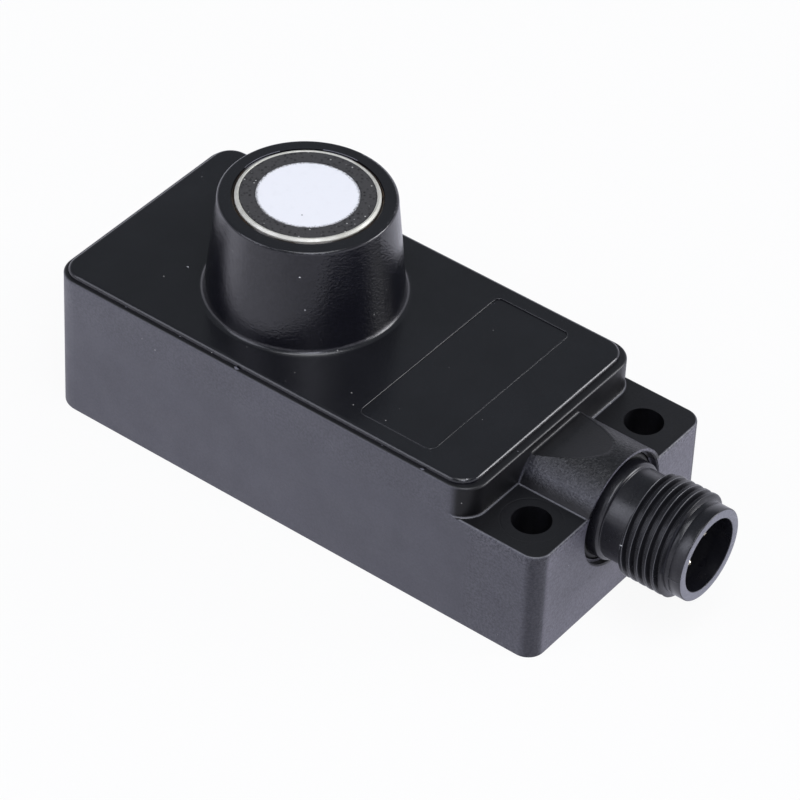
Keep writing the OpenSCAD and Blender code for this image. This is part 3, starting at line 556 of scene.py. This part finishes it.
finishes = {name: innerFinish(name, look) for name, look in innerLooks.items()}
finishes.update(housing=housingFinish, cover=coverFinish, plug=plugFinish, disc=discFinish,
    foam=foamFinish, ring=ringFinish, adhesive=adhesiveFinish)
nodeFinishes = {
    "housing": "housing", "front_cover": "cover", "connector_shell": "plug",
    "matching_disc": "disc", "foam_ring": "foam", "transducer_ring": "ring", "ring_adhesive": "adhesive",
    "piezo_disc": "piezoCeramic", "damping_body": "dampingRubber", "isolation_sleeve": "dampingRubber",
    "lead_signal": "leadRed", "lead_ground": "wireDark",
    "potting_block": "pottingResin", "circuit_board": "boardLaminate",
    "transformer_core": "ferrite", "transformer_bobbin": "bobbinPlastic",
    "transformer_winding": "enamelledWire",
    "inductor_core": "ferrite", "inductor_winding": "enamelledWire",
    "controller_chip": "chipPlastic", "amplifier_chip": "chipPlastic", "clock_resonator": "chipCeramic",
    "storage_capacitor": "canAluminium", "drive_transistor": "chipPlastic",
    "voltage_regulator": "chipPlastic", "chip_resistors": "chipPlastic", "chip_capacitors": "chipCeramic",
    "contact_carrier": "carrierPlastic", "connector_seal": "sealRubber",
    "contact_pin_1": "pinBrass", "contact_pin_2": "pinBrass", "contact_pin_3": "pinBrass",
    "contact_pin_4": "pinBrass", "connector_wire_1": "wireBrown", "connector_wire_2": "wireWhite",
    "connector_wire_3": "wireBlue", "connector_wire_4": "wireDark",
}
for nodeName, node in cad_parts.items():
    for place in node.material_slots:
        place.material = finishes[nodeFinishes[nodeName]]
print("finishes set on all nodes")


# plug shell with its rolled thread

def plugPoint(x, r, j):
    a = 2 * math.pi * j / plug["around"]
    return Vector((x, r * math.cos(a), plugAxis + r * math.sin(a))) * mm


def threadHeight(phase):
    # share of the full height at a phase of 0..1 within one pitch; the crest is at 0.5
    away = abs(phase - 0.5)
    for (a, low), (b, high) in zip(plug["profile"], plug["profile"][1:]):
        if away <= b:
            return low + (high - low) * (away - a) / (b - a)
    return plug["profile"][-1][1]


def threadPhases():
    # rows within one turn, at the corners of the thread's profile
    shares = [share for share, height in plug["profile"]]
    falling = {round(0.5 + share, 6) % 1 for share in shares}
    return sorted(falling | {round(0.5 - share, 6) for share in shares})


def threadRadius(x, turn):
    x0, x1 = plug["threadX"]
    phase = ((x - x0 - plug["turnsFrom"]) / plug["pitch"] - turn) % 1
    ease = min((x - x0) / plug["fade"], (x1 - x) / plug["fade"] * plug["runOut"], 1)
    base = plug["neckR"] + (plug["rootR"] - plug["neckR"]) * min((x - x0) / plug["rootEase"], 1)
    if x1 - x < plug["rootEase"]:
        base = plug["frontR"] + (plug["rootR"] - plug["frontR"]) * (x1 - x) / plug["rootEase"]
    return base + (plug["crestR"] - base) * threadHeight(phase) * ease


def threadMesh():
    # each row follows the thread and is cut off at both ends; its end meets the row one turn on
    around = plug["around"]
    x0, x1 = plug["threadX"]
    phases = threadPhases()
    perTurn = len(phases)
    rows = (math.ceil((x1 - x0) / plug["pitch"]) + 2) * perTurn
    verts, faces = [], []
    for i in range(rows + 1):
        whole, row = divmod(i, perTurn)
        for j in range(around):
            x = x0 + plug["turnsFrom"] + (whole - 2 + phases[row] + j / around) * plug["pitch"]
            x = min(max(x, x0), x1)
            verts.append(plugPoint(x, threadRadius(x, j / around), j))
    for i in range(rows):
        for j in range(around):
            k, n = (i, j + 1) if j < around - 1 else (i + perTurn, 0)
            if k < rows:
                faces.append((i * around + j, k * around + n, (k + 1) * around + n, (i + 1) * around + j))
    return verts, faces


def turnedOutline():
    # the plain turned parts, from the thread's end round the rim and back inside to its start
    x0, x1 = plug["threadX"]
    c0, c1 = plug["collarX"]
    front, neck, collar, bore = (plug[key] for key in ("frontR", "neckR", "collarR", "boreR"))
    line0, lineMiddle, line1 = plug["lineX"]
    rim, edge, steps = plug["rimRound"], plug["socketRound"], plug["roundSteps"]
    outline = [(x1, front), (line0, front), (lineMiddle, front - plug["lineDepth"]), (line1, front)]
    outline += arcPoints(plug["rimX"] - rim, front - rim, rim, 90, 0, steps)
    outline += arcPoints(plug["rimX"] - edge, plug["socketR"] + edge, edge, 0, -90, steps)
    outline += [(plug["socketFloor"], plug["socketR"]), (plug["socketFloor"], bore),
        (plug["innerEnd"], bore), (plug["innerEnd"], plug["shankR"]), (plug["recessX"], plug["shankR"]),
        (plug["recessX"], neck), (c0, neck), (c0, collar - plug["collarEdge"]),
        (c0 + plug["collarEdge"], collar)]
    turn = plug["collarRound"]
    outline += arcPoints(c1 - turn, collar - turn, turn, 90, 0, steps)
    return outline + [(c1, neck + plug["neckFillet"]), (c1 + plug["neckFillet"], neck), (x0, neck)]


def plugShell(finish):
    around = plug["around"]
    verts, faces = threadMesh()
    outline = turnedOutline()
    first = len(verts)
    for x, r in outline:
        verts += [plugPoint(x, r, j) for j in range(around)]
    for i in range(len(outline) - 1):
        for j in range(around):
            a, b = first + i * around + j, first + i * around + (j + 1) % around
            faces.append((a, b, b + around, a + around))
    piece = meshPiece("plugShell", verts, faces, finish)
    tidyMesh(piece, 2e-7, 32)
    return piece


def socketKey(finish):
    # the coding rib in the socket
    half, edge = plug["keyW"] / 2, plug["keyEdge"]
    inner, outer = plug["socketR"] - plug["keyH"], plug["socketR"] + plug["keyRoot"]
    section = [(-half, outer), (-half, inner + edge), (-half + edge, inner), (half - edge, inner),
        (half, inner + edge), (half, outer)]
    turn = Matrix.Rotation(math.radians(plug["keyTurn"] - 90), 4, "X")
    verts = []
    for x in plug["keyX"]:
        verts += [(turn @ Vector((x, s, r)) + Vector((0, 0, plugAxis))) * mm for s, r in section]
    n = len(section)
    faces = [tuple(range(n)), tuple(range(2 * n - 1, n - 1, -1))]
    faces += [(k, (k + 1) % n, n + (k + 1) % n, n + k) for k in range(n)]
    piece = meshPiece("socketKey", verts, faces, finish, smooth=False)
    tidyMesh(piece)
    return piece


plugPiece = plugShell(plugFinish)
keyPiece = socketKey(plugFinish)
for piece in (plugPiece, keyPiece):
    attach(piece, "root")
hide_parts("connector_shell")
print("plug shell ready,", len(plugPiece.data.polygons), "faces")


# raised edge of the cover's shallow field, a painted highlight at the lip, and flash and dust; all in mm

field = {
    "x": (-21.05, -11.45), "halfWidth": 12.2, "cornerR": 0.8, "cornerSteps": 6, "top": 18.45,
    "beadR": 0.07, "proud": 0.03,  # the bead is sunk into the top but for proud
}
lipHighlight = {
    "r": 8.13, "z": 30.99, "tube": 0.05, "steps": 14,
    "arcs": {"lipHighlightLeft": (150, 184), "lipHighlightRight": (88, 117)},  # degrees from +X
}
flecks = {
    # place and size of each
    "flash": [((-50.6, -14.32, 18.0), 0.13), ((-43.2, -14.3, 17.95), 0.13), ((-35.4, -14.52, 17.98), 0.40),
        ((-16.2, -14.3, 17.95), 0.13), ((-10.8, -14.6, 17.95), 0.28), ((-4.9, -6.1, 18.0), 0.13)],
    "dust": [((-49.51, -5.32, 18.45), 0.20), ((-32.18, -8.24, 28.02), 0.20),
        ((-31.40, -8.19, 23.98), 0.14), ((-6.1, -13.3, 18.4), 0.14), ((8.39, -5.80, 12.47), 0.20)],
    "jitter": 0.3, "stretch": 1.8,
}
seam = {"x": (13.75, 15.3), "y": -5.27, "z": 10.95, "r": 0.08, "steps": 8}


def sweepTube(name, path, r, finish, closed=True, sides=8):
    # a thin round bead along a path that lies level
    verts, faces = [], []
    n = len(path)
    for k, point in enumerate(path):
        before = path[k - 1] if closed or k else path[0]
        after = path[(k + 1) % n] if closed or k < n - 1 else path[-1]
        along = (after - before).normalized()
        side = along.cross(Vector((0, 0, 1)))
        for j in range(sides):
            a = 2 * math.pi * j / sides
            verts.append((point + (side * math.cos(a) + Vector((0, 0, 1)) * math.sin(a)) * r) * mm)
    for k in range(n if closed else n - 1):
        for j in range(sides):
            a, b = k * sides + j, k * sides + (j + 1) % sides
            c, d = ((k + 1) % n) * sides + (j + 1) % sides, ((k + 1) % n) * sides + j
            faces.append((a, b, c, d))
    if not closed:
        faces += [tuple(range(sides)), tuple(range((n - 1) * sides, n * sides))]
    piece = meshPiece(name, verts, faces, finish)
    tidyMesh(piece, 1e-8, 60)
    return piece


def fieldEdge(finish):
    r, z = field["cornerR"], field["top"] + field["proud"] - field["beadR"]
    x0, x1, half = field["x"][0] + r, field["x"][1] - r, field["halfWidth"] - r
    path = []
    for x, y, start in ((x1, half, 0), (x0, half, 90), (x0, -half, 180), (x1, -half, 270)):
        corner = arcPoints(x, y, r, start, start + 90, field["cornerSteps"])
        path += [Vector((*point, z)) for point in corner]
    return sweepTube("fieldEdge", path, field["beadR"], finish)


def lipHighlightArc(name, finish):
    # a painted highlight: a pale thin bead along the lip behind the ring
    arc = arcPoints(*noseAxis, lipHighlight["r"], *lipHighlight["arcs"][name], lipHighlight["steps"])
    path = [Vector((*point, lipHighlight["z"])) for point in arc]
    return sweepTube(name, path, lipHighlight["tube"], finish, closed=False)


def plugSeam(finish):
    # the mould's seam along the plug's front ring
    x0, x1 = seam["x"]
    places = [x0 + (x1 - x0) * k / seam["steps"] for k in range(seam["steps"] + 1)]
    path = [Vector((x, seam["y"], seam["z"])) for x in places]
    return sweepTube("plugSeam", path, seam["r"], finish, closed=False)


def smallGrains(name, spots, finish):
    rng = random.Random(4)
    jitter = flecks["jitter"]
    verts, faces = [], []
    for spot, size in spots:
        first = len(verts)
        for axis in range(3):
            for sign in (-1, 1):
                offset = Vector([rng.uniform(-jitter, jitter) for part in range(3)])
                offset[axis] += sign
                offset.x *= flecks["stretch"]
                verts.append((Vector(spot) + offset * size / 2) * mm)
        faces += [(first + i, first + j, first + k) for i in (0, 1) for j in (2, 3) for k in (4, 5)]
    piece = meshPiece(name, verts, faces, finish, smooth=False)
    tidyMesh(piece, 1e-8)
    return piece


smallPieces = [
    (lipHighlightArc("lipHighlightLeft", finishes["paleFlashAndLipHighlight"]), "cover_plastic"),
    (lipHighlightArc("lipHighlightRight", finishes["paleFlashAndLipHighlight"]), "cover_plastic"),
    (fieldEdge(coverFinish), "cover_plastic"),
    (smallGrains("flashNibs", flecks["flash"], finishes["paleFlashAndLipHighlight"]), "housing_plastic"),
    (smallGrains("dustGrains", flecks["dust"], finishes["paleDust"]), "housing_plastic"),
    (plugSeam(plugFinish), "connector_plastic"),
]
for piece, slotName in smallPieces:
    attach(piece, "root")
print("field edge, lip beads, flash and dust ready")


# studio

studio = {
    # metres; rings are radii on the flat floor, which then bends up into the wall
    "rings": (0.3, 1), "floorR": 2.1, "wallR": 2.5, "wallH": 0.95, "bendStep": 10, "around": 64,
    "floorTone": (0.86, 0.86, 0.87), "tintSize": 400, "tintFrom": (0.3, 0.7), "tintDark": 0.99,
    "glow": 1.0, "shadowShare": 0.08, "mirrorTone": (0.88, 0.88, 1.0),
    # patches of the floor, mm, that surfaces mirror darker or brighter: full inside the first radius
    "patches": [{"at": (10, -54, 0), "r": (12, 56), "level": 0.62},
        {"at": (-98, -36, 0), "r": (16, 40), "level": 1.6}],
    "skyTone": (0.86, 0.93, 1.0), "skyLevel": 0.225,
}
lamps = {
    # places and sizes in metres; each lamp looks at the origin
    "overhead": {"at": (0.28, -0.22, 1.25), "size": 0.75, "watts": 6.8, "tone": (0.94, 0.95, 1)},
    "backRight": {"at": (1.0, 0.83, 0.36), "size": 0.6, "watts": 9.2, "tone": (0.97, 0.97, 1)},
    "frontLeft": {"at": (-0.55, -0.82, 0.76), "size": 0.7, "watts": 4.0, "tone": (0.86, 0.87, 1)},
    "front": {"at": (0.55, -0.55, 0.77), "size": 0.3, "watts": 2.6, "tone": (0.86, 0.87, 1)},
}


def studioPaper():
    mat = bpy.data.materials.new("studioPaper")
    mat.use_nodes = True
    tree = mat.node_tree
    tree.nodes.clear()
    tint = remap(tree, noiseField(tree, studio["tintSize"], 2), *studio["tintFrom"])
    dark = tuple(v * studio["tintDark"] for v in studio["floorTone"])
    tint = blendTones(tree, tint, studio["floorTone"], dark)
    paper = addNode(tree, "ShaderNodeBsdfDiffuse", {"Color": tint})
    ray = addNode(tree, "ShaderNodeLightPath").outputs
    mirrored = studio["mirrorTone"]
    for patch in studio["patches"]:
        full, none = patch["r"]
        inside = remap(tree, farFrom(tree, patch["at"]), none, full, 1, patch["level"])
        mirrored = scaleTone(tree, mirrored, inside)
    glowTone = blendTones(tree, ray["Is Camera Ray"], mirrored, (1, 1, 1))
    white = addNode(tree, "ShaderNodeEmission", {"Color": glowTone, "Strength": studio["glow"]})
    seen = maths(tree, "MAXIMUM", ray["Is Camera Ray"], ray["Is Glossy Ray"])
    seen = maths(tree, "MAXIMUM", seen, ray["Is Transmission Ray"])
    share = times(tree, seen, 1 - studio["shadowShare"])
    mixed = addNode(tree, "ShaderNodeMixShader", {0: share, 1: paper.outputs[0], 2: white.outputs[0]})
    addNode(tree, "ShaderNodeOutputMaterial", {0: mixed.outputs[0]})
    return mat


def studioFloor(finish):
    around, bend = studio["around"], studio["wallR"] - studio["floorR"]
    outline = [(r, 0) for r in studio["rings"]] + [(studio["floorR"], 0)]
    for degrees in range(studio["bendStep"], 91, studio["bendStep"]):
        a = math.radians(degrees)
        outline.append((studio["floorR"] + bend * math.sin(a), bend * (1 - math.cos(a))))
    outline.append((studio["wallR"], studio["wallH"]))
    turns = [2 * math.pi * j / around for j in range(around)]
    verts = [(0, 0, 0)]
    for r, z in outline:
        verts += [(r * math.cos(a), r * math.sin(a), z) for a in turns]
    faces = [(0, 1 + j, 1 + (j + 1) % around) for j in range(around)]
    for i in range(len(outline) - 1):
        for j in range(around):
            a, b = 1 + i * around + j, 1 + i * around + (j + 1) % around
            faces.append((a, a + around, b + around, b))
    floor = meshPiece("studioFloor", verts, faces, finish)


def studioSky():
    world = bpy.data.worlds.new("studioSky")
    bpy.context.scene.world = world
    world.use_nodes = True
    back = world.node_tree.nodes["Background"]
    back.inputs["Color"].default_value = (*studio["skyTone"], 1)
    back.inputs["Strength"].default_value = studio["skyLevel"]


def addLamp(name, lamp):
    light = bpy.data.lights.new(name, "AREA")
    light.shape = "SQUARE"
    light.size = lamp["size"]
    light.energy = lamp["watts"]
    light.color = lamp["tone"]
    holder = bpy.data.objects.new(name, light)
    holder.location = lamp["at"]
    holder.rotation_euler = (-Vector(lamp["at"])).to_track_quat("-Z", "Y").to_euler()
    holder.visible_camera = False
    bpy.context.scene.collection.objects.link(holder)


studioFloor(studioPaper())
studioSky()
for lampName, lamp in lamps.items():
    addLamp(lampName, lamp)
print("studio ready")


# camera where the photograph was taken

shot = {
    "place": (0.184997, -0.292474, 0.321102),  # metres
    "azimuth": 35.613, "elevation": 40.853, "roll": 2.900,  # degrees
    "lens": 200.389, "sensor": 36,  # mm
    "clip": (0.01, 20),  # metres
}


def photoCamera():
    az, el, roll = (math.radians(shot[key]) for key in ("azimuth", "elevation", "roll"))
    back = Vector((math.sin(az) * math.cos(el), -math.cos(az) * math.cos(el), math.sin(el)))
    right = (-back).cross(Vector((0, 0, 1))).normalized()
    up = right.cross(-back)
    across = right * math.cos(roll) + up * math.sin(roll)
    upright = up * math.cos(roll) - right * math.sin(roll)
    lensData = bpy.data.cameras.new("photoCamera")
    lensData.lens = shot["lens"]
    lensData.sensor_width = shot["sensor"]
    lensData.clip_start, lensData.clip_end = shot["clip"]
    camera = bpy.data.objects.new("photoCamera", lensData)
    turned = Matrix((across, upright, back)).transposed().to_4x4()
    camera.matrix_world = Matrix.Translation(shot["place"]) @ turned
    bpy.context.scene.collection.objects.link(camera)
    bpy.context.scene.camera = camera


photoCamera()
bpy.context.scene.view_settings.view_transform = "Standard"
print("camera ready")
